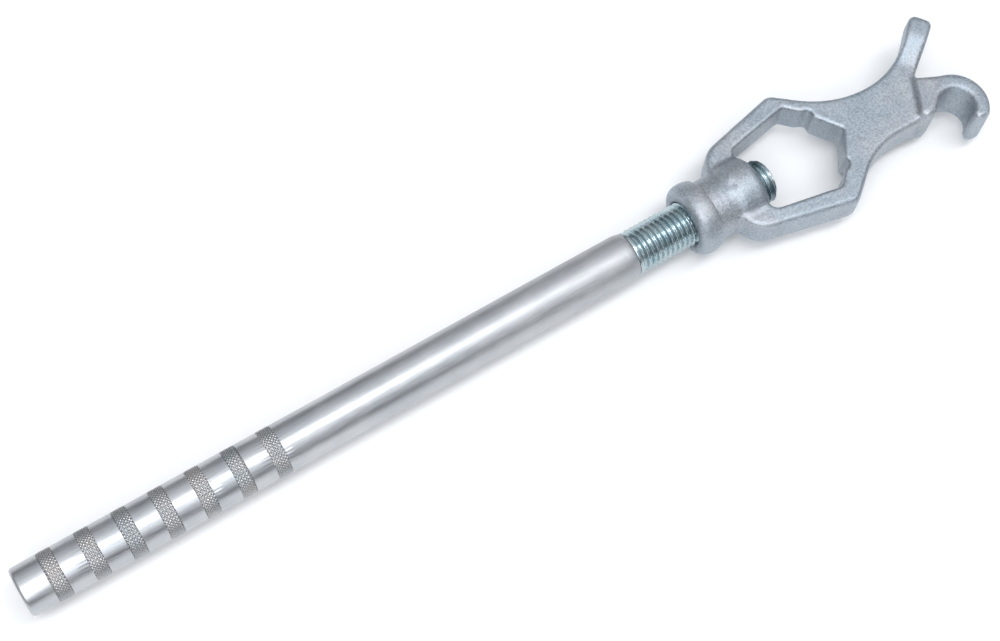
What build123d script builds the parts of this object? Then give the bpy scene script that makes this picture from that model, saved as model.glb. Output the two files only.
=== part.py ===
"""Adjustable hydrant wrench: a cast head with a five-sided jaw, a hook and a horn, screwed onto
a tubular handle that tightens on the nut.

Millimetres, +Z up. The origin is the deepest corner of the jaw, on the handle's own axis: +X runs
along that axis towards the hook, and the flat head lies in the XY plane.
"""
import math
import os

from build123d import *

os.makedirs("parts", exist_ok=True)

# Handle: 3/4 inch pipe
TUBE_R = 13.335
TUBE_BORE_R = 10.465
HANDLE_END_X = -502.0
HANDLE_MOUTH_X = -143.0
HANDLE_CHAMFER = 1.2
BORE_CHAMFER = 0.5
MOUTH_TAPER = (4.0, 0.8)
BAND_COUNT = 7
BAND_PITCH = 20.4
BAND_WIDTH = 7.5
BAND_FIRST_X = -487.0
BAND_R = 13.2

# Stud: 1 inch thread, eight to the inch
PITCH = 3.175
CREST_R = 12.65
ROOT_R = 10.75
ROOT_FLAT = 0.53
FLANK = math.radians(30)
THREAD_START_X = -140.6
STUD_TIP_X = -51.8
TURNS = int((STUD_TIP_X - THREAD_START_X) / PITCH)
SHANK_R = 10.4
SHANK_LENGTH = 42.0
TIP_CHAMFER = 2.0
THREAD_START_R = 11.15
STUD_TIP_R = 10.15
GROOVE_OVERCUT = 0.3

# Plain collar between the handle's mouth and the thread
COLLAR_R = 12.5
COLLAR_GAP = 0.1
COLLAR_BORE_R = SHANK_R + 0.06
COLLAR_ROUND = 0.5

# Bore through the head, clear of the stud's thread all round
NUT_BORE_R = CREST_R + 0.2
COUNTERSINK = 1.0

# Head barrel, turned about the handle's axis: a rear bead, a neck and a rounded front lip
BEAD_START_X = -106.5
BARREL_END_X = -60.5
BARREL_PROFILE = (
    (BEAD_START_X, 15.0),
    (-104.8, 19.4),
    (-99.0, 20.9),
    (-92.4, 19.5),
    (-87.6, 18.0),
    (-80.0, 17.5),
    (-73.0, 18.4),
    (-67.0, 19.3),
)
LIP_MIDDLE = (-62.3, 17.7)
LIP_END = (BARREL_END_X, 14.6)

# Head plate
PLATE_HALF = 10.0
PLATE_ROUND = 2.6
ARM_START = (-82.5, 12.0)
SHOULDER = (-76.8, 27.5)
SHOULDER_ROUND = 16.0
ELBOW = (-24.6, 39.3)
ELBOW_ROUND = 6.0
WAIST_START = (-13.0, 30.0)
WAIST = (27.0, 15.3)

# The lower side of the plate is fuller at its elbow and waist
LOW_ELBOW = (-19.2, -40.6)
LOW_WAIST_START = (-6.8, -30.6)
LOW_WAIST = (27.0, -17.8)

# Where the plate meets the hook and the horn
PLATE_CORNER = (54.5, 22.9)
HORN_ROOT = (53.0, 6.5)
STEP_END = (39.5, -18.3)

# Jaw opening, upper half; the lower half is its mirror image
JAW_CORNER = (0.0, 0.0)
NOTCH_IN = (-10.2, 14.6)
NOTCH_TIP = (-9.4, 19.4)
NOTCH_OUT = (-14.9, 21.5)
JAW_ARM_CORNER = (-21.8, 28.6)
ARM_BARREL_CORNER = (-61.0, 21.2)
JAW_ARM_ROUND = 2.0
ARM_BARREL_ROUND = 3.0
OPENING_BACK = (-64.0, 16.2)
OPENING_ROUND = 0.8

# Hook: an arch about its own centre, deeper than the plate
HOOK_HALF = 14.1
HOOK_ROUND = 2.6
HOOK_CENTRE = (61.5, -20.5)
HOOK_INNER_CENTRE = (62.1, -21.2)
HOOK_INNER_R = 10.0
HOOK_OUTER_R = 19.8
HOOK_ROOT_TOP = (51.6, 5.2)
HOOK_LUG_IN = (40.9, -15.6)
HOOK_LUG_END = (43.4, -19.8)
HOOK_LUG_OUT = (50.0, -18.4)
HOOK_THROAT_ANGLE = 130.0
HOOK_TOP_ANGLE = 78.0
HOOK_FAR_ANGLE = 10.0
HOOK_INNER_FAR_ANGLE = 30.0
HOOK_TIP_OUT_ANGLE = -50.0
HOOK_TIP_ANGLE = -72.0
HOOK_TIP_IN_ANGLE = -62.0
HOOK_TIP_DEPTH = 4.5
HOOK_TIP_ROUND = 2.0

# Horn: leaves the plate's corner and bends upwards
HORN_ANGLE = 38.0
HORN_BASE = (50.0, 11.5)
HORN_LENGTH = 35.0
HORN_WIDTH = 13.4
HORN_ROUND = 2.2
HORN_TIP_TOP = 17.6
HORN_TIP_BOTTOM = 7.2
HORN_START = 4.0
HORN_BEND_TOP = ((9.5, 11.4), (18.0, 16.0))
HORN_BEND_BOTTOM = (20.0, 3.6)
HORN_TIP_SLOPE = 0.05
HORN_CORNER_ROUND = 3.5
HORN_FOOT_SLOPE = 0.9


def arc_point(centre, radius, degrees):
    angle = math.radians(degrees)
    return (centre[0] + radius * math.cos(angle), centre[1] + radius * math.sin(angle))


def waist_middle(waist, end):
    """A point halfway round an arc that leaves the waist level with the axis and ends at a point."""
    dx = end[0] - waist[0]
    dy = end[1] - waist[1]
    radius = (dx * dx + dy * dy) / (2 * abs(dy))
    half = math.asin(dx / radius) / 2
    drop = math.copysign(radius * (1 - math.cos(half)), dy)
    return (waist[0] + radius * math.sin(half), waist[1] + drop)


def flip(point):
    return (point[0], -point[1])


def near_x(sketch, x):
    """The corners of a sketch that lie at one distance along the handle."""
    return sketch.vertices().filter_by(lambda v: abs(v.X - x) < 0.1)


groove_top = CREST_R + GROOVE_OVERCUT
groove_half = ROOT_FLAT / 2 + (groove_top - ROOT_R) * math.tan(FLANK)
groove = [
    (-groove_half, groove_top),
    (-ROOT_FLAT / 2, ROOT_R),
    (ROOT_FLAT / 2, ROOT_R),
    (groove_half, groove_top),
]

# The stud: a plain shank, then grooves of thread section at every pitch
with BuildPart() as threaded_stud:
    with BuildSketch(Plane.XY):
        with BuildLine():
            Polyline(
                (HANDLE_MOUTH_X - SHANK_LENGTH, 0),
                (HANDLE_MOUTH_X - SHANK_LENGTH, SHANK_R),
                (THREAD_START_X, SHANK_R),
                (THREAD_START_X, THREAD_START_R),
                (THREAD_START_X + TIP_CHAMFER, CREST_R),
                (STUD_TIP_X - TIP_CHAMFER, CREST_R),
                (STUD_TIP_X, STUD_TIP_R),
                (STUD_TIP_X, 0),
                close=True,
            )
        make_face()
        for turn in range(TURNS):
            with BuildLine():
                Polyline(*[
                    (THREAD_START_X + (turn + 1) * PITCH + x, y) for x, y in groove
                ], close=True)
            make_face(mode=Mode.SUBTRACT)
    revolve(axis=Axis.X)

# The collar on the stud's shank
with BuildPart() as stud_collar:
    with BuildSketch(Plane.YZ.offset(HANDLE_MOUTH_X + COLLAR_GAP)):
        Circle(COLLAR_R)
        Circle(COLLAR_BORE_R, mode=Mode.SUBTRACT)
    extrude(amount=THREAD_START_X - HANDLE_MOUTH_X - 2 * COLLAR_GAP)
    fillet(stud_collar.edges().filter_by(GeomType.CIRCLE).sort_by(SortBy.RADIUS)[-2:], COLLAR_ROUND)

# The handle tube with its gripping bands
with BuildPart() as handle_tube:
    with BuildSketch(Plane.XY):
        with BuildLine():
            Polyline(
                (HANDLE_END_X, TUBE_BORE_R + BORE_CHAMFER),
                (HANDLE_END_X, TUBE_R - HANDLE_CHAMFER),
                (HANDLE_END_X + HANDLE_CHAMFER, TUBE_R),
                (HANDLE_MOUTH_X - MOUTH_TAPER[0], TUBE_R),
                (HANDLE_MOUTH_X, TUBE_R - MOUTH_TAPER[1]),
                (HANDLE_MOUTH_X, TUBE_BORE_R),
                (HANDLE_END_X + BORE_CHAMFER, TUBE_BORE_R),
                close=True,
            )
        make_face()
        for band in range(BAND_COUNT):
            with Locations((BAND_FIRST_X + BAND_WIDTH / 2 + band * BAND_PITCH, TUBE_R)):
                Rectangle(BAND_WIDTH, 2 * (TUBE_R - BAND_R), mode=Mode.SUBTRACT)
    revolve(axis=Axis.X)

# The head's plate with its two arms and narrow waist
with BuildPart() as plate:
    with BuildSketch(Plane.XY.offset(-PLATE_HALF)) as plate_sketch:
        with BuildLine():
            Polyline(ARM_START, SHOULDER, ELBOW, WAIST_START)
            ThreePointArc(WAIST_START, waist_middle(WAIST, WAIST_START), WAIST)
            ThreePointArc(WAIST, waist_middle(WAIST, PLATE_CORNER), PLATE_CORNER)
            Polyline(PLATE_CORNER, HORN_ROOT, STEP_END, LOW_WAIST)
            ThreePointArc(
                LOW_WAIST, waist_middle(LOW_WAIST, LOW_WAIST_START), LOW_WAIST_START
            )
            Polyline(LOW_WAIST_START, LOW_ELBOW, flip(SHOULDER), flip(ARM_START), ARM_START)
        make_face()
        fillet(near_x(plate_sketch, ELBOW[0]), ELBOW_ROUND)
        fillet(near_x(plate_sketch, LOW_ELBOW[0]), ELBOW_ROUND)
        fillet(near_x(plate_sketch, SHOULDER[0]), SHOULDER_ROUND)
    extrude(amount=2 * PLATE_HALF)
    fillet(plate.faces().sort_by(Axis.Z)[0].edges(), PLATE_ROUND)
    fillet(plate.faces().sort_by(Axis.Z)[-1].edges(), PLATE_ROUND)
    with BuildSketch(Plane.XY.offset(-PLATE_HALF)) as jaw_sketch:
        with BuildLine():
            Polyline(
                OPENING_BACK,
                ARM_BARREL_CORNER,
                JAW_ARM_CORNER,
                NOTCH_OUT,
                NOTCH_TIP,
                NOTCH_IN,
                JAW_CORNER,
                flip(NOTCH_IN),
                flip(NOTCH_TIP),
                flip(NOTCH_OUT),
                flip(JAW_ARM_CORNER),
                flip(ARM_BARREL_CORNER),
                flip(OPENING_BACK),
                close=True,
            )
        make_face()
        fillet(near_x(jaw_sketch, ARM_BARREL_CORNER[0]), ARM_BARREL_ROUND)
        fillet(near_x(jaw_sketch, JAW_ARM_CORNER[0]), JAW_ARM_ROUND)
    extrude(amount=2 * PLATE_HALF, mode=Mode.SUBTRACT)
    for face in (plate.faces().sort_by(Axis.Z)[0], plate.faces().sort_by(Axis.Z)[-1]):
        fillet(face.inner_wires()[0].edges(), OPENING_ROUND)

# The hook, deeper than the plate
throat = arc_point(HOOK_INNER_CENTRE, HOOK_INNER_R, HOOK_THROAT_ANGLE)
inner_far = arc_point(HOOK_INNER_CENTRE, HOOK_INNER_R, HOOK_INNER_FAR_ANGLE)
tip_in = arc_point(HOOK_INNER_CENTRE, HOOK_INNER_R, HOOK_TIP_IN_ANGLE)
tip_end = arc_point(HOOK_INNER_CENTRE, HOOK_INNER_R + HOOK_TIP_DEPTH, HOOK_TIP_ANGLE)
tip_out = arc_point(HOOK_CENTRE, HOOK_OUTER_R, HOOK_TIP_OUT_ANGLE)
outer_far = arc_point(HOOK_CENTRE, HOOK_OUTER_R, HOOK_FAR_ANGLE)
outer_top = arc_point(HOOK_CENTRE, HOOK_OUTER_R, HOOK_TOP_ANGLE)
with BuildPart() as hook:
    with BuildSketch(Plane.XY.offset(-HOOK_HALF)) as hook_sketch:
        with BuildLine():
            Polyline(throat, HOOK_LUG_OUT, HOOK_LUG_END, HOOK_LUG_IN, HOOK_ROOT_TOP, outer_top)
            ThreePointArc(outer_top, outer_far, tip_out)
            Polyline(tip_out, tip_end, tip_in)
            ThreePointArc(tip_in, inner_far, throat)
        make_face()
        fillet(hook_sketch.vertices().sort_by(Axis.Y)[:2], HOOK_TIP_ROUND)
    extrude(amount=2 * HOOK_HALF)
    fillet(hook.faces().sort_by(Axis.Z)[0].edges(), HOOK_ROUND)
    fillet(hook.faces().sort_by(Axis.Z)[-1].edges(), HOOK_ROUND)

# The horn: a bent bar of even width
horn_frame = Plane(
    origin=(HORN_BASE[0], HORN_BASE[1], 0),
    x_dir=(math.cos(math.radians(HORN_ANGLE)), math.sin(math.radians(HORN_ANGLE)), 0),
    z_dir=(math.sin(math.radians(HORN_ANGLE)), -math.cos(math.radians(HORN_ANGLE)), 0),
)
with BuildPart() as horn:
    with BuildSketch(horn_frame) as horn_sketch:
        with BuildLine():
            Polyline(
                (HORN_START, -PLATE_HALF),
                (-HORN_START, -PLATE_HALF),
                (-HORN_START, PLATE_HALF),
                (HORN_START, PLATE_HALF),
            )
            Spline(
                (HORN_START, PLATE_HALF),
                *HORN_BEND_TOP,
                (HORN_LENGTH, HORN_TIP_TOP),
                tangents=((1, 0), (1, HORN_TIP_SLOPE)),
            )
            Line((HORN_LENGTH, HORN_TIP_TOP), (HORN_LENGTH, HORN_TIP_BOTTOM))
            Spline(
                (HORN_LENGTH, HORN_TIP_BOTTOM),
                HORN_BEND_BOTTOM,
                (HORN_START, -PLATE_HALF),
                tangents=((-1, -HORN_TIP_SLOPE), (-1, -HORN_FOOT_SLOPE)),
            )
        make_face()
    extrude(amount=HORN_WIDTH / 2, both=True)
    fillet(horn.edges().filter_by(Axis.Z).sort_by(Axis.X)[-2:], HORN_CORNER_ROUND)
    fillet(horn.faces().sort_by(Axis.Z)[-1].edges(), HORN_ROUND)

# The head casting: barrel, plate, hook and horn as one piece, then its openings
with BuildPart() as wrench_head:
    with BuildSketch(Plane.XY):
        with BuildLine():
            Polyline(
                LIP_END,
                (BARREL_END_X, 0),
                (BEAD_START_X, 0),
                BARREL_PROFILE[0],
            )
            Spline(*BARREL_PROFILE, tangents=((0, 1), (1, 0)))
            ThreePointArc(BARREL_PROFILE[-1], LIP_MIDDLE, LIP_END)
        make_face()
    revolve(axis=Axis.X)
    add(plate.part)
    add(hook.part)
    add(horn.part)

    # through bore with a countersink at each mouth
    with BuildSketch(Plane.XY):
        with BuildLine():
            Polyline(
                (BEAD_START_X, 0),
                (BEAD_START_X, NUT_BORE_R + COUNTERSINK),
                (BEAD_START_X + COUNTERSINK, NUT_BORE_R),
                (BARREL_END_X - COUNTERSINK, NUT_BORE_R),
                (BARREL_END_X, NUT_BORE_R + COUNTERSINK),
                (BARREL_END_X, 0),
                close=True,
            )
        make_face()
    revolve(axis=Axis.X, mode=Mode.SUBTRACT)

wrench_head.part.label = "wrench_head"
export_step(wrench_head.part, "parts/wrench_head.step")
threaded_stud.part.label = "threaded_stud"
export_step(threaded_stud.part, "parts/threaded_stud.step")
handle_tube.part.label = "handle_tube"
export_step(handle_tube.part, "parts/handle_tube.step")
stud_collar.part.label = "stud_collar"
export_step(stud_collar.part, "parts/stud_collar.step")
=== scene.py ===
"""Look model of the hydrant wrench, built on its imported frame.

Metres. The frame's +X runs along the handle's axis towards the hook, +Z is square to the flat head,
and the origin is the jaw's deepest corner.
"""
import math

import bmesh
import bpy
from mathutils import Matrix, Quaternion, Vector, noise


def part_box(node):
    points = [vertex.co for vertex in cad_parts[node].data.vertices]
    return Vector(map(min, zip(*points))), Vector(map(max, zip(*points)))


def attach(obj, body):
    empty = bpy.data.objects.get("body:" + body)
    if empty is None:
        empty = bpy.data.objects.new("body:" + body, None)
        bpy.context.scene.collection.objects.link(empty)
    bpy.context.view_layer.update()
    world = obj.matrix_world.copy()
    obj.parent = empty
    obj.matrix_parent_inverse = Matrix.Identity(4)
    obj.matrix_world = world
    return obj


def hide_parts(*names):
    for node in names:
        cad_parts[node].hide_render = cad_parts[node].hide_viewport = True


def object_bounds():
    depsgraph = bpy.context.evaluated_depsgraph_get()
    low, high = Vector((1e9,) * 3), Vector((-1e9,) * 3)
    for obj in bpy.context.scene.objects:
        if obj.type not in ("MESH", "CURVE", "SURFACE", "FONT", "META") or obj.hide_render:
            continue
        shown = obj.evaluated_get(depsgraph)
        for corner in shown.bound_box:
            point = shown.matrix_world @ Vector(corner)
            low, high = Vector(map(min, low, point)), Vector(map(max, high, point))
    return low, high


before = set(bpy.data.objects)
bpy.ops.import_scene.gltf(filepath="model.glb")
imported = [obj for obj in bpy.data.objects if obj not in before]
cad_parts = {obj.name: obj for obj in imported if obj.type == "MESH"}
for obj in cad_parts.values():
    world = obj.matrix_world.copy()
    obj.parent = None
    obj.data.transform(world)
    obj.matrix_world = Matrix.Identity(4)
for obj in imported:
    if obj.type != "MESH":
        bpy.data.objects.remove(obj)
cad_low, cad_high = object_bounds()

MM = 0.001

# Handle tube: its ends and its knurled bands
TUBE_R = 13.335 * MM
TUBE_BORE_R = 10.465 * MM
BORE_EDGE = 0.5 * MM
END_CHAMFER = 1.2 * MM
END_ROUND_X = 0.4 * MM
END_ROUND_DROP = 0.55 * MM
END_SHOULDER_DROP = 0.1 * MM
END_SHOULDER = 0.6 * MM
MOUTH_TAPER = 4.0 * MM
MOUTH_DROP = 0.8 * MM
MOUTH_SHOULDER = 0.6 * MM
MOUTH_START_DROP = 0.03 * MM
MOUTH_MIDDLE_SHARE = 0.4
MOUTH_EDGE = 0.35 * MM
MOUTH_EDGE_SHARE = 0.85
MOUTH_END_SHARE = 1.3
PLAIN_STEPS = 11
BAND_COUNT = 7
BAND_PITCH = 20.4 * MM
BAND_WIDTH = 7.5 * MM
BAND_FIRST_X = -487.0 * MM
BAND_SHOULDER = 0.25 * MM
KNURL_AROUND = 44
KNURL_DEPTH = 0.42 * MM
KNURL_CREST_R = 13.42 * MM
KNURL_STEP_AROUND = 352
KNURL_STEP_ALONG = 28
KNURL_FLAT_GAIN = 1.35
KNURL_FADE = 0.45 * MM
KNURL_FADE_DROP = 0.25 * MM
# painted shade in the knurl: darkest in the grooves, lighter on the flats
KNURL_GROOVE_SHADE = 0.85
KNURL_SHADE_FALL = 0.6

# Stud: a right-hand thread on a plain shank, with a centre hole in each end
PITCH = 3.175 * MM
CREST_R = 12.65 * MM
ROOT_R = 10.75 * MM
ROOT_FLAT = 0.53 * MM
FLANK = math.radians(30)
SHANK_R = 10.4 * MM
SHANK_CHAMFER = 0.8 * MM
SHANK_LAST_STEP = 2.0 * MM
SHANK_GAP = 0.01 * MM
CENTRE_R = 2.4 * MM
REAR_CENTRE_DEPTH = 6.0 * MM
REAR_CENTRE_END_R = 0.6 * MM
TIP_CENTRE_DEPTH = 1.8 * MM
TIP_CENTRE_END_R = 0.3 * MM
THREAD_START_X = -140.6 * MM
THREAD_START_R = 11.15 * MM
THREAD_START_SLOPE = 0.75
THREAD_STEPS = 20
THREAD_AROUND = 120
STUD_TIP_X = -51.8 * MM
STUD_TIP_R = 10.15 * MM
STUD_TIP_SLOPE = 1.25
STUD_TIP_EDGE = 0.5 * MM
STUD_DISH = 0.05 * MM
STUD_DISH_R = 6.0 * MM

# Collar between the handle's mouth and the thread
COLLAR_CLEARANCE = 0.06 * MM
COLLAR_EDGE = 0.15 * MM
COLLAR_ROUND_DROP = 0.5 * MM
COLLAR_ROUND_X = 0.45 * MM
GROOVE_HALF = 0.25 * MM
GROOVE_FLOOR_HALF = 0.12 * MM
GROOVE_DEPTH = 0.14 * MM
COLLAR_AROUND = 144

# Head casting: its barrel and bore
BORE_R = 12.95 * MM
BORE_PLUG_R = 13.6 * MM
BORE_PLUG_INSET = 0.15 * MM
BORE_PLUG_AROUND = 96
BORE_MOUTH_R = 14.0 * MM
BORE_REAR_LEAD = 0.9 * MM
BORE_FRONT_LEAD = 0.7 * MM
BORE_PAST = 2.0 * MM
BORE_AROUND = 160
BARREL_END_X = -60.5 * MM
NECK_R = 17.5 * MM
NECK_START_X = -94.4 * MM
NECK_END_X = -85.5 * MM
NECK_STEP = 1.3 * MM

# Head casting: its rounded corners and its skin
VOXEL = 0.55 * MM
BLEND_R = 2.2 * MM
EDGE_R = 1.7 * MM
WELD = 1e-7
SMOOTH_FACTOR = 0.5
SMOOTH_TIMES = 4
SMOOTH_LAST_TIMES = 9
SKIN_WIDE_SCALE = 130
SKIN_WIDE_MM = 0.035
SKIN_FINE_SCALE = 1100
SKIN_FINE_MM = 0.05
PARTING_HALF = 0.55 * MM
PARTING_RISE = 0.14 * MM
PARTING_SCALE = 90
PARTING_SHIFT = Vector((5, 0, 0))
PARTING_LEVEL = 0.5
HORN_BASE = Vector((50.0, 11.5, 0.0)) * MM
HORN_ALONG = Vector((math.cos(math.radians(38)), math.sin(math.radians(38)), 0.0))
HORN_ACROSS = Vector((-HORN_ALONG.y, HORN_ALONG.x, 0.0))
HORN_HOLLOW_AT = 16.0 * MM
HORN_HOLLOW_LENGTH = 6.5 * MM
HORN_HOLLOW_DEPTH = 1.3 * MM

# Angles above which an edge is shaded sharp
CAST_SHARP = math.radians(50)
TURNED_SHARP = math.radians(38)
THREAD_SHARP = math.radians(42)

# Materials: noise scales are per metre, ramps are (position, colour) stops
NOISE_RANGE = (0.3, 0.7)
CAST_GRAIN = 950
CAST_LUMPS = 420
CAST_PATCHES = 75
CAST_BLOTCHES = 28
CAST_COOL = ((0.3, (0.37, 0.43, 0.48)), (0.7, (0.48, 0.53, 0.57)))
CAST_WARM = ((0.50, (0.39, 0.44, 0.50)), (0.70, (0.52, 0.46, 0.47)))
CAST_WARM_SHARE = 0.32
CAST_SPECK = ((0.38, (0.58, 0.59, 0.62)), (0.62, (1.18, 1.18, 1.16)))
CAST_SPECK_SHARE = 0.8
# convex edges lighter: edge wear together with a painted highlight
CAST_EDGE_WEAR_AND_HIGHLIGHT = (0.78, 0.79, 0.81)
CAST_EDGE_WEAR_AND_HIGHLIGHT_RANGE = (0.51, 0.56)
# painted shade: the concave inner corners darkened
CAST_CORNER_PAINTED_SHADE = (0.12, 0.14, 0.17)
CAST_CORNER_PAINTED_SHADE_RANGE = (0.42, 0.49)
CAST_EDGE_SHARE = 0.75
CAST_METALLIC = 0.92
CAST_ROUGHNESS = (0.36, 0.58)
TUBE_LINES = 1400
TUBE_LINE_STRETCH = (0.06, 1.0, 1.0)
TUBE_PATCHES = 55
TUBE_FINE = 2600
TUBE_BASE = ((0.3, (0.47, 0.49, 0.51)), (0.7, (0.56, 0.57, 0.58)))
TUBE_STREAK = ((0.35, (0.86, 0.86, 0.87)), (0.65, (1.0, 1.0, 1.0)))
TUBE_STREAK_SHARE = 0.7
# colour of the painted shade in the knurl's grooves
TUBE_KNURL_SHADE = ((0.35, (0.27, 0.29, 0.30)), (0.65, (0.37, 0.33, 0.31)))
TUBE_ROUGHNESS = (0.30, 0.44)
TUBE_DULL = 0.16
TUBE_DULL_FROM_X = -0.33
TUBE_DULL_TO_X = -0.17
THREAD_MARKS = 900
THREAD_MARK_STRETCH = (6.0, 1.0, 1.0)
THREAD_PATCHES = 110
THREAD_BASE = ((0.3, (0.36, 0.47, 0.51)), (0.7, (0.55, 0.62, 0.64)))
THREAD_STREAK = ((0.35, (0.86, 0.88, 0.88)), (0.65, (1.0, 1.0, 1.0)))
THREAD_STREAK_SHARE = 0.6
THREAD_ROUGHNESS = (0.20, 0.32)
FLOOR_PATCHES = 6
FLOOR_BASE = ((0.3, (0.93, 0.93, 0.93)), (0.7, (0.95, 0.95, 0.95)))
FLOOR_ROUGHNESS = 0.8

# Floor, sky, lights and camera
FLOOR_REACH = 6.0
FLOOR_GAP = 0.0005
SKY_STOPS = ((0.0, 0.12), (0.22, 0.16), (0.6, 0.52), (1.0, 0.85))
SKY_TINT = (0.95, 0.98, 1.03)
SKY_STRENGTH = 1.3
KEY_OFFSET = Vector((0.0, -0.2, 1.3))
KEY_SIZE = (1.8, 0.30)
KEY_POWER = 9.5
FILL_OFFSET = Vector((-0.7, -0.9, 1.1))
FILL_SIZE = (0.7, 0.7)
FILL_POWER = 6
FILL_COLOUR = (0.95, 0.97, 1.0)
CAMERA_PLACE = Vector((-0.4671, -0.3059, 0.8824))
CAMERA_AIM = Vector((-0.2229, 0.0029, 0.0))
CAMERA_ROLL = math.radians(6.78)
CAMERA_LENS = 65.9
CAMERA_SENSOR = 36.0
CAMERA_NEAR = 0.01
CAMERA_FAR = 50.0


# ---------------------------------------------------------------- mesh helpers


def new_object(name, mesh):
    """A linked object holding the mesh."""
    obj = bpy.data.objects.new(name, mesh)
    bpy.context.scene.collection.objects.link(obj)
    return obj


def apply_modifiers(obj):
    """Replaces the object's mesh with what its modifiers make of it."""
    graph = bpy.context.evaluated_depsgraph_get()
    made = bpy.data.meshes.new_from_object(obj.evaluated_get(graph))
    obj.modifiers.clear()
    obj.data = made


def lathe(name, profile, around, closed=False):
    """A surface turned about the handle's axis from (x, radius) points."""
    bm = bmesh.new()
    rings = []
    for x, radius in profile:
        ring = []
        for i in range(around):
            angle = 2 * math.pi * i / around
            ring.append(bm.verts.new((x, radius * math.cos(angle), radius * math.sin(angle))))
        rings.append(ring)
    pairs = list(zip(rings, rings[1:]))
    if closed:
        pairs.append((rings[-1], rings[0]))
    else:
        bm.faces.new(rings[0])
        bm.faces.new(list(reversed(rings[-1])))
    for a, b in pairs:
        for i in range(around):
            j = (i + 1) % around
            bm.faces.new((a[i], b[i], b[j], a[j]))
    bmesh.ops.recalc_face_normals(bm, faces=bm.faces)
    mesh = bpy.data.meshes.new(name)
    bm.to_mesh(mesh)
    bm.free()
    return mesh


def shade(mesh, angle):
    """Smooth shading, with edges sharper than the angle left sharp."""
    for face in mesh.polygons:
        face.use_smooth = True
    mesh.set_sharp_from_angle(angle=angle)


def remesh(obj, voxel):
    """Adds an even voxel rebuild of the surface."""
    step = obj.modifiers.new("remesh", "REMESH")
    step.mode = "VOXEL"
    step.voxel_size = voxel
    step.use_smooth_shade = True


def swell(obj, distance):
    """Adds a move outwards along the normals, or inwards if the distance is negative."""
    step = obj.modifiers.new("swell", "DISPLACE")
    step.direction = "NORMAL"
    step.mid_level = 0.0
    step.strength = distance


def smooth(obj, times):
    """Adds a number of smoothing passes."""
    step = obj.modifiers.new("smooth", "SMOOTH")
    step.factor = SMOOTH_FACTOR
    step.iterations = times


# ---------------------------------------------------------------- head casting


def make_head():
    """The CAD head with its bore filled, its corners rounded as cast, and the bore cut again."""
    low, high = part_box("wrench_head")
    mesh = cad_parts["wrench_head"].data.copy()
    mesh.materials.clear()
    head = new_object("cast_head", mesh)
    plug = lathe(
        "bore_plug",
        [
            (low[0] + BORE_PLUG_INSET, BORE_PLUG_R),
            (BARREL_END_X - BORE_PLUG_INSET, BORE_PLUG_R),
        ],
        BORE_PLUG_AROUND,
    )
    bm = bmesh.new()
    bm.from_mesh(mesh)
    bm.from_mesh(plug)
    bmesh.ops.remove_doubles(bm, verts=bm.verts, dist=WELD)
    bm.to_mesh(mesh)
    bm.free()

    # swelling then shrinking fills the inner corners, and shrinking further then swelling rounds
    # the outer edges, like a casting's own radii
    remesh(head, VOXEL)
    swell(head, BLEND_R)
    remesh(head, VOXEL)
    smooth(head, SMOOTH_TIMES)
    swell(head, -BLEND_R - EDGE_R)
    remesh(head, VOXEL)
    smooth(head, SMOOTH_TIMES)
    swell(head, EDGE_R)
    remesh(head, VOXEL)
    smooth(head, SMOOTH_LAST_TIMES)
    apply_modifiers(head)

    # faint unevenness of the skin, the parting line round the sides and the horn's hollow; the
    # normals are read first, because moving a vertex would have them all worked out again
    normals = [vert.normal.copy() for vert in head.data.vertices]
    for vert, normal in zip(head.data.vertices, normals):
        p = vert.co.copy()
        wave = noise.noise(p * SKIN_WIDE_SCALE) * SKIN_WIDE_MM
        wave += noise.noise(p * SKIN_FINE_SCALE) * SKIN_FINE_MM
        side = max(0.0, 1 - abs(p.z) / PARTING_HALF) * (1 - abs(normal.z))
        broken = noise.noise(p * PARTING_SCALE + PARTING_SHIFT)
        seam = PARTING_RISE * side * max(0.0, PARTING_LEVEL + broken)
        along = ((p - HORN_BASE).dot(HORN_ALONG) - HORN_HOLLOW_AT) / HORN_HOLLOW_LENGTH
        hollow = HORN_HOLLOW_DEPTH * math.exp(-(along**2)) * max(0.0, normal.dot(HORN_ACROSS))
        if p.x < HORN_BASE.x or p.y < HORN_BASE.y:
            hollow = 0.0
        p += normal * (wave * MM + seam - hollow)

        # the bead's step down to the neck
        radius = math.hypot(p.y, p.z)
        if NECK_START_X < p.x < NECK_END_X and radius > NECK_R:
            pull = min(1.0, (p.x - NECK_START_X) / NECK_STEP)
            scale = 1 - pull * pull * (3 - 2 * pull) * (radius - NECK_R) / radius
            p.y *= scale
            p.z *= scale

        # nothing may leave the CAD's box
        vert.co = [max(a, min(b, c)) for a, b, c in zip(low, high, p)]

    cutter = new_object(
        "bore_cutter",
        lathe(
            "bore_cutter",
            [
                (low[0] - BORE_PAST, BORE_MOUTH_R + BORE_PAST),
                (low[0] + BORE_REAR_LEAD, BORE_R),
                (BARREL_END_X - BORE_FRONT_LEAD, BORE_R),
                (BARREL_END_X + BORE_PAST, BORE_R + BORE_PAST),
            ],
            BORE_AROUND,
        ),
    )
    cut = head.modifiers.new("bore", "BOOLEAN")
    cut.operation = "DIFFERENCE"
    cut.solver = "EXACT"
    cut.object = cutter
    apply_modifiers(head)
    bpy.data.objects.remove(cutter)
    shade(head.data, CAST_SHARP)
    return head


# ---------------------------------------------------------------- handle tube


def knurl_height(turn, along):
    """Height of a diamond knurl, 0 at its grooves and 1 on its flats."""
    a = (turn * KNURL_AROUND + along) % 1.0
    b = (turn * KNURL_AROUND - along) % 1.0
    ridge = min(abs(2 * a - 1), abs(2 * b - 1))
    return min(1.0, ridge * KNURL_FLAT_GAIN)


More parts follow.
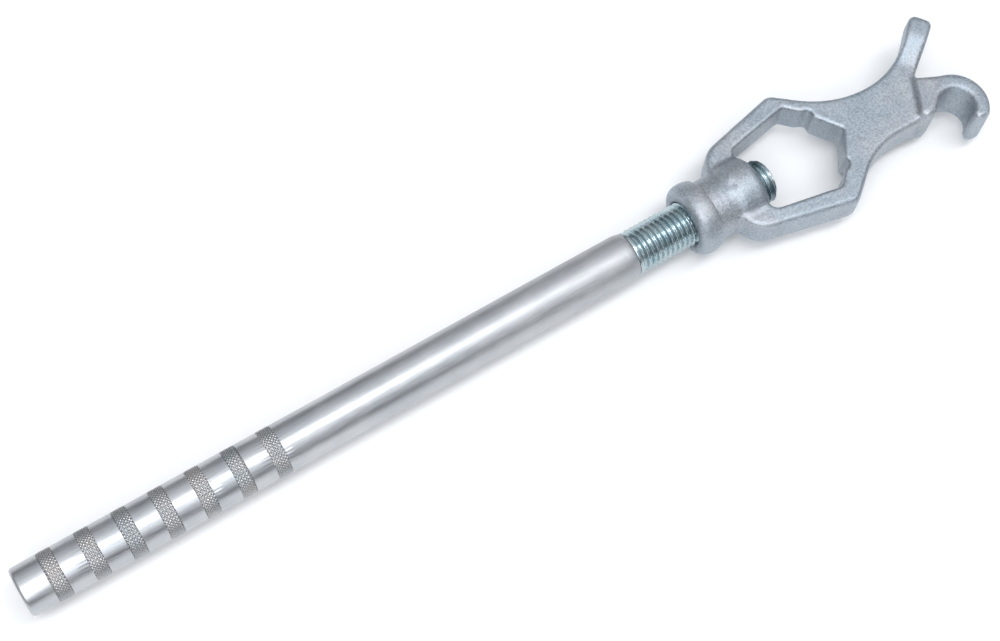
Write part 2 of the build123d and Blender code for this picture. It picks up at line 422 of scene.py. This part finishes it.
def make_handle():
    """The tube, closed round its wall, with each band's knurl cut into the mesh."""
    low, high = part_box("handle_tube")
    start, end = low[0], high[0]
    profile = [
        (start + BORE_EDGE, TUBE_BORE_R, 0),
        (start, TUBE_BORE_R + BORE_EDGE, 0),
        (start, TUBE_R - END_CHAMFER, 0),
        (start + END_ROUND_X, TUBE_R - END_ROUND_DROP, 0),
        (start + END_CHAMFER, TUBE_R - END_SHOULDER_DROP, 0),
        (start + END_CHAMFER + END_SHOULDER, TUBE_R, 0),
    ]
    for band in range(BAND_COUNT):
        x = BAND_FIRST_X + band * BAND_PITCH
        profile.append((x - BAND_SHOULDER, TUBE_R, 0))
        for i in range(KNURL_STEP_ALONG + 1):
            profile.append((x + BAND_WIDTH * i / KNURL_STEP_ALONG, KNURL_CREST_R, 1))
        profile.append((x + BAND_WIDTH + BAND_SHOULDER, TUBE_R, 0))
        profile.append((x + (BAND_WIDTH + BAND_PITCH) / 2, TUBE_R, 0))
    last = profile[-1][0]
    for i in range(1, PLAIN_STEPS + 1):
        x = last + (end - MOUTH_TAPER - MOUTH_SHOULDER - last) * i / PLAIN_STEPS
        profile.append((x, TUBE_R, 0))
    profile += [
        (end - MOUTH_TAPER, TUBE_R - MOUTH_START_DROP, 0),
        (end - MOUTH_TAPER / 2, TUBE_R - MOUTH_DROP * MOUTH_MIDDLE_SHARE, 0),
        (end - MOUTH_EDGE, TUBE_R - MOUTH_DROP * MOUTH_EDGE_SHARE, 0),
        (end, TUBE_R - MOUTH_DROP * MOUTH_END_SHARE, 0),
        (end, TUBE_BORE_R, 0),
    ]
    mesh = lathe("handle", [(x, r) for x, r, _ in profile], KNURL_STEP_AROUND, closed=True)
    pitch_along = 2 * math.pi * TUBE_R / KNURL_AROUND
    crest = [i for i, (_, _, k) in enumerate(profile) if k]
    heights = {}
    for ring in crest:
        x = profile[ring][0]
        into = (x - BAND_FIRST_X) % BAND_PITCH
        edge = min(into, BAND_WIDTH - into)
        fade = min(1.0, max(0.0, edge / KNURL_FADE))
        for i in range(KNURL_STEP_AROUND):
            vert = mesh.vertices[ring * KNURL_STEP_AROUND + i]
            height = knurl_height(i / KNURL_STEP_AROUND, x / pitch_along)
            heights[ring, i] = height
            out = KNURL_CREST_R - KNURL_DEPTH * (1 - height) - (1 - fade) * KNURL_FADE_DROP
            direction = Vector((0, vert.co.y, vert.co.z)).normalized()
            vert.co = Vector((vert.co.x, direction.y * out, direction.z * out))
    # the knurl attribute carries painted shade: darker in the grooves, lighter on the flats
    band = mesh.attributes.new("knurl", "FLOAT", "POINT")
    for (ring, i), height in heights.items():
        groove_shade = KNURL_GROOVE_SHADE - KNURL_SHADE_FALL * height
        band.data[ring * KNURL_STEP_AROUND + i].value = groove_shade
    shade(mesh, TURNED_SHARP)
    return new_object("knurled_handle", mesh)


# ---------------------------------------------------------------- stud and collar


def thread_radius(x, turn):
    """Radius of the right-hand thread at a distance along and a fraction of a turn round."""
    off = abs((x / PITCH - turn + 0.5) % 1.0 - 0.5) * PITCH
    radius = ROOT_R + max(0.0, off - ROOT_FLAT / 2) / math.tan(FLANK)
    radius = min(radius, CREST_R)
    radius = min(radius, THREAD_START_R + (x - THREAD_START_X) * THREAD_START_SLOPE)
    return min(radius, STUD_TIP_R + (STUD_TIP_X - x) * STUD_TIP_SLOPE)


def make_stud():
    """The stud's shank, helical thread and faced end, with its centre holes."""
    low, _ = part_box("threaded_stud")
    profile = [
        (low[0] + REAR_CENTRE_DEPTH, REAR_CENTRE_END_R),
        (low[0], CENTRE_R),
        (low[0], SHANK_R - SHANK_CHAMFER),
        (low[0] + SHANK_CHAMFER, SHANK_R),
        (THREAD_START_X - SHANK_LAST_STEP, SHANK_R),
        (THREAD_START_X - SHANK_GAP, SHANK_R),
    ]
    first = len(profile)
    length = STUD_TIP_X - THREAD_START_X
    count = int(length / PITCH * THREAD_STEPS)
    profile += [(THREAD_START_X + length * i / count, ROOT_R) for i in range(count + 1)]
    last = len(profile)
    profile += [
        (STUD_TIP_X, STUD_TIP_R - STUD_TIP_EDGE),
        (STUD_TIP_X - STUD_DISH, STUD_DISH_R),
        (STUD_TIP_X, CENTRE_R),
        (STUD_TIP_X - TIP_CENTRE_DEPTH, TIP_CENTRE_END_R),
    ]
    mesh = lathe("stud", profile, THREAD_AROUND)
    for ring in range(first, last):
        x = profile[ring][0]
        for i in range(THREAD_AROUND):
            angle = 2 * math.pi * i / THREAD_AROUND
            radius = thread_radius(x, i / THREAD_AROUND)
            vert = mesh.vertices[ring * THREAD_AROUND + i]
            vert.co = (x, radius * math.cos(angle), radius * math.sin(angle))
    shade(mesh, THREAD_SHARP)
    return new_object("helical_stud", mesh)


def make_collar():
    """The turned collar, with a rounded outer edge and a shallow groove round its middle."""
    low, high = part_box("stud_collar")
    start, end, outer = low[0], high[0], high[1]
    inner = SHANK_R + COLLAR_CLEARANCE
    middle_x = (start + end) / 2
    profile = [
        (start + COLLAR_EDGE, inner),
        (start, inner + COLLAR_EDGE),
        (start, outer - COLLAR_ROUND_DROP),
        (start + COLLAR_EDGE, outer - COLLAR_EDGE),
        (start + COLLAR_ROUND_X, outer),
        (middle_x - GROOVE_HALF, outer),
        (middle_x - GROOVE_FLOOR_HALF, outer - GROOVE_DEPTH),
        (middle_x + GROOVE_FLOOR_HALF, outer - GROOVE_DEPTH),
        (middle_x + GROOVE_HALF, outer),
        (end - COLLAR_ROUND_X, outer),
        (end - COLLAR_EDGE, outer - COLLAR_EDGE),
        (end, outer - COLLAR_ROUND_DROP),
        (end, inner + COLLAR_EDGE),
        (end - COLLAR_EDGE, inner),
    ]
    mesh = lathe("collar", profile, COLLAR_AROUND, closed=True)
    shade(mesh, TURNED_SHARP)
    return new_object("turned_collar", mesh)


# ---------------------------------------------------------------- materials


class Nodes:
    """A short way to build a node material."""

    def __init__(self, name):
        self.material = bpy.data.materials.new(name)
        self.material.use_nodes = True
        self.tree = self.material.node_tree
        self.shader = self.tree.nodes["Principled BSDF"]

    def add(self, kind, **inputs):
        """A new node; each value goes to the input of its name, or else to the node's setting."""
        node = self.tree.nodes.new(kind)
        for key, value in inputs.items():
            name = key.replace("_", " ")
            if name in node.inputs:
                node.inputs[name].default_value = value
            else:
                setattr(node, key, value)
        return node

    def link(self, source, target):
        self.tree.links.new(source, target)

    def place(self, stretch=(1, 1, 1)):
        """Object coordinates, stretched."""
        coord = self.add("ShaderNodeTexCoord")
        mapping = self.add("ShaderNodeMapping")
        mapping.inputs["Scale"].default_value = stretch
        self.link(coord.outputs["Object"], mapping.inputs["Vector"])
        return mapping.outputs["Vector"]

    def noise(self, place, scale, detail=4.0, roughness=0.55):
        node = self.add("ShaderNodeTexNoise", Scale=scale, Detail=detail, Roughness=roughness)
        self.link(place, node.inputs["Vector"])
        return node.outputs["Fac"]

    def ramp(self, value, *stops):
        """A colour ramp from (position, colour) stops."""
        node = self.add("ShaderNodeValToRGB")
        ramp = node.color_ramp
        while len(ramp.elements) < len(stops):
            ramp.elements.new(0.5)
        for element, (position, colour) in zip(ramp.elements, stops):
            element.position = position
            element.color = (*colour, 1.0)
        self.link(value, node.inputs["Fac"])
        return node.outputs["Color"]

    def mix(self, factor, a, b, blend="MIX"):
        node = self.add("ShaderNodeMix", data_type="RGBA", blend_type=blend)
        if isinstance(factor, float):
            node.inputs[0].default_value = factor
        else:
            self.link(factor, node.inputs[0])
        for value, socket in ((a, node.inputs[6]), (b, node.inputs[7])):
            if isinstance(value, tuple):
                socket.default_value = (*value, 1.0)
            else:
                self.link(value, socket)
        return node.outputs[2]

    def spread(self, value, low, high, start=0.0, end=1.0):
        """The value's range start-end mapped to low-high."""
        node = self.add("ShaderNodeMapRange")
        node.inputs["From Min"].default_value = start
        node.inputs["From Max"].default_value = end
        node.inputs["To Min"].default_value = low
        node.inputs["To Max"].default_value = high
        self.link(value, node.inputs["Value"])
        return node.outputs["Result"]

    def bump(self, *layers):
        """Stacked bumps from (height, strength, distance) layers."""
        last = None
        for height, strength, distance in layers:
            node = self.add("ShaderNodeBump", Strength=strength, Distance=distance)
            self.link(height, node.inputs["Height"])
            if last is not None:
                self.link(last, node.inputs["Normal"])
            last = node.outputs["Normal"]
        self.link(last, self.shader.inputs["Normal"])


def zinc_casting():
    """Speckled zinc on iron, with edge wear plus a painted highlight lighting the convex edges, and
    painted shade darkening the inner corners.
    """
    n = Nodes("zinc_plated_casting")
    place = n.place()
    grain = n.noise(place, CAST_GRAIN, 5.0, 0.72)
    lumps = n.noise(place, CAST_LUMPS, 4.0)
    patches = n.noise(place, CAST_PATCHES, 3.0)
    blotches = n.noise(place, CAST_BLOTCHES, 2.0)
    ridge = n.add("ShaderNodeNewGeometry").outputs["Pointiness"]
    base = n.ramp(patches, *CAST_COOL)
    warm = n.ramp(blotches, *CAST_WARM)
    speck = n.ramp(grain, *CAST_SPECK)
    tinted = n.mix(CAST_SPECK_SHARE, n.mix(CAST_WARM_SHARE, base, warm), speck, "MULTIPLY")
    # convex edges lighter from pointiness: edge wear together with a painted highlight
    edge_wear_and_highlight = n.spread(ridge, 0.0, CAST_EDGE_SHARE, *CAST_EDGE_WEAR_AND_HIGHLIGHT_RANGE)
    bright = n.mix(edge_wear_and_highlight, tinted, CAST_EDGE_WEAR_AND_HIGHLIGHT)
    # painted shade: the concave inner corners darkened by pointiness, through the mask named hollow
    hollow = n.spread(ridge, CAST_EDGE_SHARE, 0.0, *CAST_CORNER_PAINTED_SHADE_RANGE)
    n.link(n.mix(hollow, bright, CAST_CORNER_PAINTED_SHADE), n.shader.inputs["Base Color"])
    n.shader.inputs["Metallic"].default_value = CAST_METALLIC
    n.link(n.spread(grain, *CAST_ROUGHNESS, *NOISE_RANGE), n.shader.inputs["Roughness"])
    n.bump((lumps, 0.3, 0.0003), (grain, 0.8, 0.0003))
    return n.material


def bright_tube():
    """Bright drawn tube with fine lines along it, and painted shade darkening the knurl's grooves.
    """
    n = Nodes("bright_zinc_tube")
    along = n.place()
    drawn = n.place(TUBE_LINE_STRETCH)
    lines = n.noise(drawn, TUBE_LINES, 4.0)
    patches = n.noise(along, TUBE_PATCHES, 3.0)
    fine = n.noise(along, TUBE_FINE, 2.0)
    knurl = n.add("ShaderNodeAttribute", attribute_name="knurl").outputs["Fac"]
    base = n.ramp(patches, *TUBE_BASE)
    streak = n.ramp(lines, *TUBE_STREAK)
    plain = n.mix(TUBE_STREAK_SHARE, base, streak, "MULTIPLY")
    # painted shade: the knurl attribute darkens the grooves towards this colour
    knurl_shade = n.ramp(patches, *TUBE_KNURL_SHADE)
    n.link(n.mix(knurl, plain, knurl_shade), n.shader.inputs["Base Color"])
    n.shader.inputs["Metallic"].default_value = 1.0
    # duller towards the head end
    split = n.add("ShaderNodeSeparateXYZ")
    n.link(along, split.inputs["Vector"])
    dull = n.spread(split.outputs["X"], 0.0, TUBE_DULL, TUBE_DULL_FROM_X, TUBE_DULL_TO_X)
    total = n.add("ShaderNodeMath", operation="ADD")
    n.link(n.spread(lines, *TUBE_ROUGHNESS, *NOISE_RANGE), total.inputs[0])
    n.link(dull, total.inputs[1])
    n.link(total.outputs["Value"], n.shader.inputs["Roughness"])
    n.bump((lines, 0.18, 0.00008), (fine, 0.12, 0.00005))
    return n.material


def machined_thread():
    """Bluish zinc with fine turning marks round the axis."""
    n = Nodes("zinc_plated_thread")
    place = n.place()
    turned = n.noise(n.place(THREAD_MARK_STRETCH), THREAD_MARKS, 3.0)
    patches = n.noise(place, THREAD_PATCHES, 3.0)
    base = n.ramp(patches, *THREAD_BASE)
    marks = n.ramp(turned, *THREAD_STREAK)
    n.link(n.mix(THREAD_STREAK_SHARE, base, marks, "MULTIPLY"), n.shader.inputs["Base Color"])
    n.shader.inputs["Metallic"].default_value = 1.0
    n.link(n.spread(turned, *THREAD_ROUGHNESS, *NOISE_RANGE), n.shader.inputs["Roughness"])
    n.bump((turned, 0.08, 0.00005))
    return n.material


def pale_floor():
    """Near-white matt backdrop."""
    n = Nodes("pale_floor")
    base = n.ramp(n.noise(n.place(), FLOOR_PATCHES, 2.0), *FLOOR_BASE)
    n.link(base, n.shader.inputs["Base Color"])
    n.shader.inputs["Roughness"].default_value = FLOOR_ROUGHNESS
    return n.material


# ---------------------------------------------------------------- the pieces

casting = zinc_casting()
thread = machined_thread()

head = make_head()
head.data.materials.append(casting)
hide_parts("wrench_head")
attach(head, "head")

handle = make_handle()
handle.data.materials.append(bright_tube())
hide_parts("handle_tube")
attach(handle, "handle")

stud = make_stud()
stud.data.materials.append(thread)
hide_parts("threaded_stud")
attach(stud, "handle")

collar = make_collar()
collar.data.materials.append(thread)
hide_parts("stud_collar")
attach(collar, "advance")

# ---------------------------------------------------------------- floor, light and camera

floor_mesh = bpy.data.meshes.new("floor")
floor_mesh.from_pydata(
    [
        (-FLOOR_REACH, -FLOOR_REACH, 0),
        (FLOOR_REACH, -FLOOR_REACH, 0),
        (FLOOR_REACH, FLOOR_REACH, 0),
        (-FLOOR_REACH, FLOOR_REACH, 0),
    ],
    [],
    [(0, 1, 2, 3)],
)
floor = new_object("floor", floor_mesh)
floor.location = (0, 0, cad_low[2] - FLOOR_GAP)
floor_mesh.materials.append(pale_floor())

middle = (cad_low + cad_high) / 2

world = bpy.data.worlds.new("studio")
bpy.context.scene.world = world
world.use_nodes = True
sky_tree = world.node_tree
sky = sky_tree.nodes["Background"]
sky_place = sky_tree.nodes.new("ShaderNodeTexCoord")
sky_split = sky_tree.nodes.new("ShaderNodeSeparateXYZ")
sky_ramp = sky_tree.nodes.new("ShaderNodeValToRGB")
sky_tree.links.new(sky_place.outputs["Generated"], sky_split.inputs["Vector"])
sky_tree.links.new(sky_split.outputs["Z"], sky_ramp.inputs["Fac"])
sky_tree.links.new(sky_ramp.outputs["Color"], sky.inputs["Color"])
while len(sky_ramp.color_ramp.elements) < len(SKY_STOPS):
    sky_ramp.color_ramp.elements.new(0.5)
for element, (position, level) in zip(sky_ramp.color_ramp.elements, SKY_STOPS):
    element.position = position
    element.color = (*(level * tint for tint in SKY_TINT), 1.0)
sky.inputs["Strength"].default_value = SKY_STRENGTH


def area_light(name, place, aim, size, power, colour=(1, 1, 1)):
    """A rectangular light at a place, facing the aim."""
    light = bpy.data.lights.new(name, "AREA")
    light.shape = "RECTANGLE"
    light.size, light.size_y = size
    light.energy = power
    light.color = colour
    obj = bpy.data.objects.new(name, light)
    obj.location = place
    obj.rotation_mode = "QUATERNION"
    obj.rotation_quaternion = (Vector(aim) - Vector(place)).to_track_quat("-Z", "Y")
    bpy.context.scene.collection.objects.link(obj)


area_light("key", middle + KEY_OFFSET, middle, KEY_SIZE, KEY_POWER)
area_light("fill", middle + FILL_OFFSET, middle, FILL_SIZE, FILL_POWER, FILL_COLOUR)

camera_data = bpy.data.cameras.new("camera")
camera_data.sensor_width = CAMERA_SENSOR
camera_data.lens = CAMERA_LENS
camera = bpy.data.objects.new("camera", camera_data)
bpy.context.scene.collection.objects.link(camera)
bpy.context.scene.camera = camera
camera.location = CAMERA_PLACE
camera.rotation_mode = "QUATERNION"
look = (CAMERA_AIM - CAMERA_PLACE).to_track_quat("-Z", "Y")
camera.rotation_quaternion = look @ Quaternion((0, 0, 1), CAMERA_ROLL)
camera_data.clip_start = CAMERA_NEAR
camera_data.clip_end = CAMERA_FAR

bpy.context.scene.view_settings.view_transform = "Standard"
